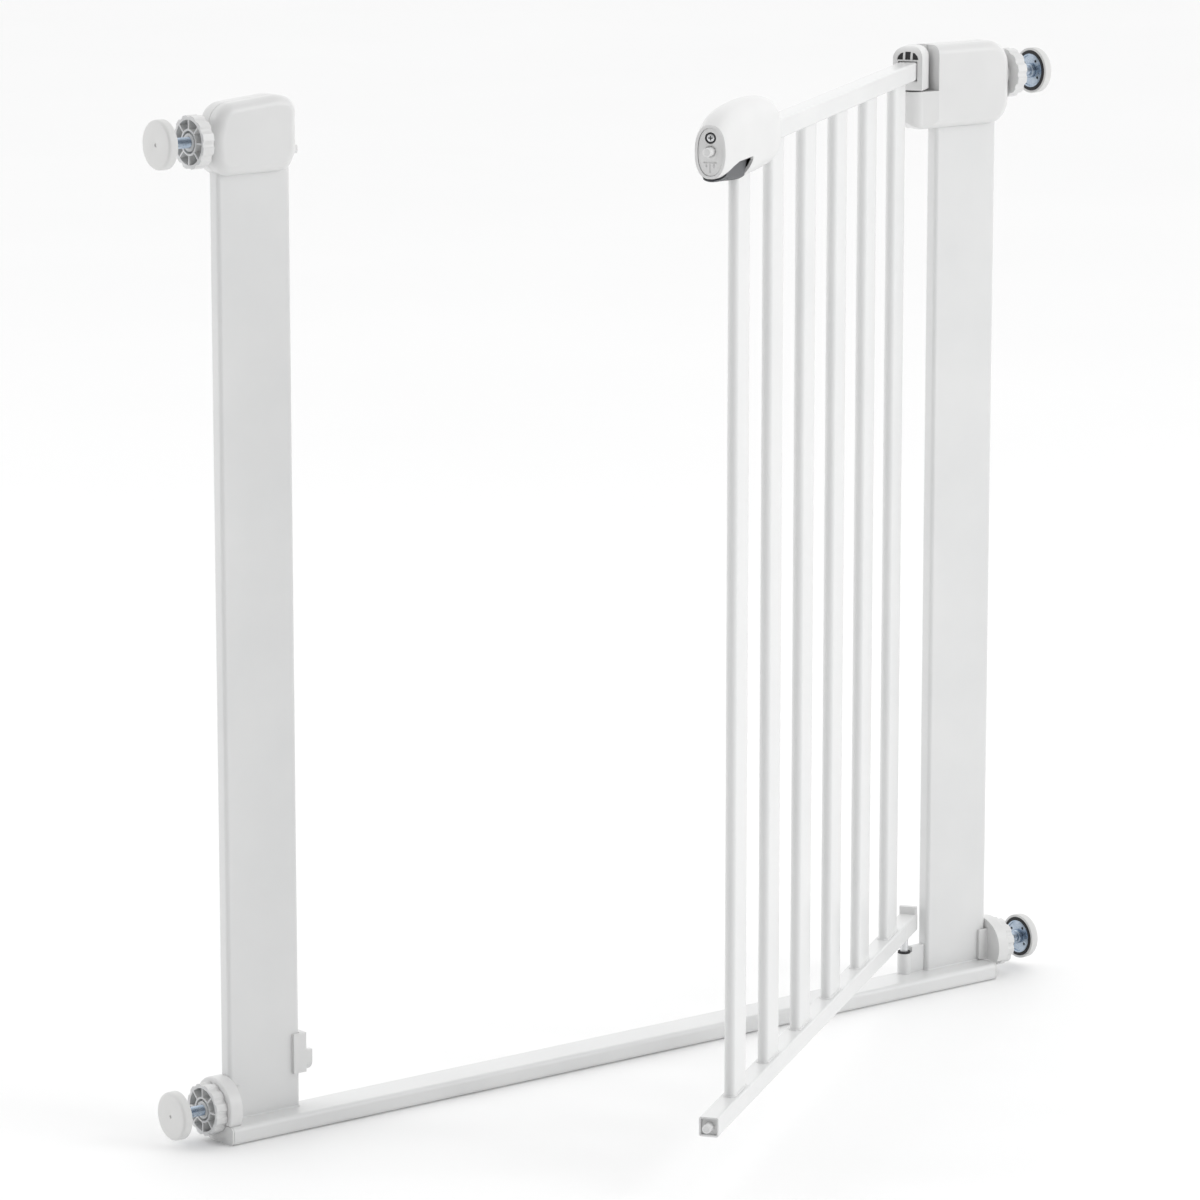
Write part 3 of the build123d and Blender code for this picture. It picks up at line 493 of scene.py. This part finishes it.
def make_floor():
    builder = bmesh.new()
    bmesh.ops.create_grid(builder, x_segments=8, y_segments=8, size=40.0)
    mesh = bpy.data.meshes.new("floor")
    builder.to_mesh(mesh)
    builder.free()
    floor = bpy.data.objects.new("floor", mesh)
    bpy.context.scene.collection.objects.link(floor)
    mesh.materials.append(surface(
        "pale_floor", (0.955, 0.955, 0.955), (0.97, 0.97, 0.97), (0.55, 0.7), 40.0, 0.0005, patch=1.5,
    ))


def area_light(name, place, target, size, power):
    data = bpy.data.lights.new(name, "AREA")
    data.shape = "RECTANGLE"
    data.size, data.size_y = size
    data.energy = power
    light = bpy.data.objects.new(name, data)
    light.location = place
    light.rotation_mode = "QUATERNION"
    light.rotation_quaternion = (Vector(target) - Vector(place)).to_track_quat("-Z", "Y")
    bpy.context.scene.collection.objects.link(light)


make_floor()
area_light("key", (2.4, -3.4, 2.3), (0.1, 0, 0.4), (2.2, 2.2), 45.0)
area_light("left", (-3.2, 2.2, 2.0), (-0.2, 0, 0.4), (2.0, 2.0), 16.0)


def make_world():
    """A white room with one dim corner, whose walls look plain white from everywhere."""
    world = bpy.data.worlds.new("studio")
    world.use_nodes = True
    tree = world.node_tree
    background = tree.nodes["Background"]
    place = tree.nodes.new("ShaderNodeTexCoord")
    toward = tree.nodes.new("ShaderNodeVectorMath")
    toward.operation = "DOT_PRODUCT"
    toward.inputs[1].default_value = Vector((-0.62, -0.72, 0.18)).normalized()
    tree.links.new(place.outputs["Generated"], toward.inputs[0])
    dim = tree.nodes.new("ShaderNodeMapRange")
    dim.interpolation_type = "SMOOTHSTEP"
    dim.inputs["From Min"].default_value = 0.1
    dim.inputs["From Max"].default_value = 0.95
    dim.inputs["To Min"].default_value = 1.17
    dim.inputs["To Max"].default_value = 0.37
    tree.links.new(toward.outputs["Value"], dim.inputs["Value"])
    path = tree.nodes.new("ShaderNodeLightPath")
    seen = tree.nodes.new("ShaderNodeMath")
    seen.operation = "MAXIMUM"
    tree.links.new(dim.outputs["Result"], seen.inputs[0])
    tree.links.new(path.outputs["Is Camera Ray"], seen.inputs[1])
    tree.links.new(seen.outputs["Value"], background.inputs["Strength"])
    background.inputs["Color"].default_value = (1, 1, 1, 1)
    bpy.context.scene.world = world


make_world()
bpy.context.scene.view_settings.view_transform = "Standard"

# ------------------------------------------------------------------ camera
HEADING = 0.6702739
TILT = -0.1958314
CAMERA_PLACE = (-2.5619, -3.2044, 1.1625)
data = bpy.data.cameras.new("camera")
camera = bpy.data.objects.new("camera", data)
bpy.context.scene.collection.objects.link(camera)
ahead = Vector((
    math.sin(HEADING) * math.cos(TILT),
    math.cos(HEADING) * math.cos(TILT),
    math.sin(TILT),
))
camera.location = CAMERA_PLACE
camera.rotation_mode = "QUATERNION"
camera.rotation_quaternion = ahead.to_track_quat("-Z", "Y")
data.sensor_width = 36.0
data.lens = 167.87
data.clip_start, data.clip_end = 0.1, 100.0
bpy.context.scene.camera = camera
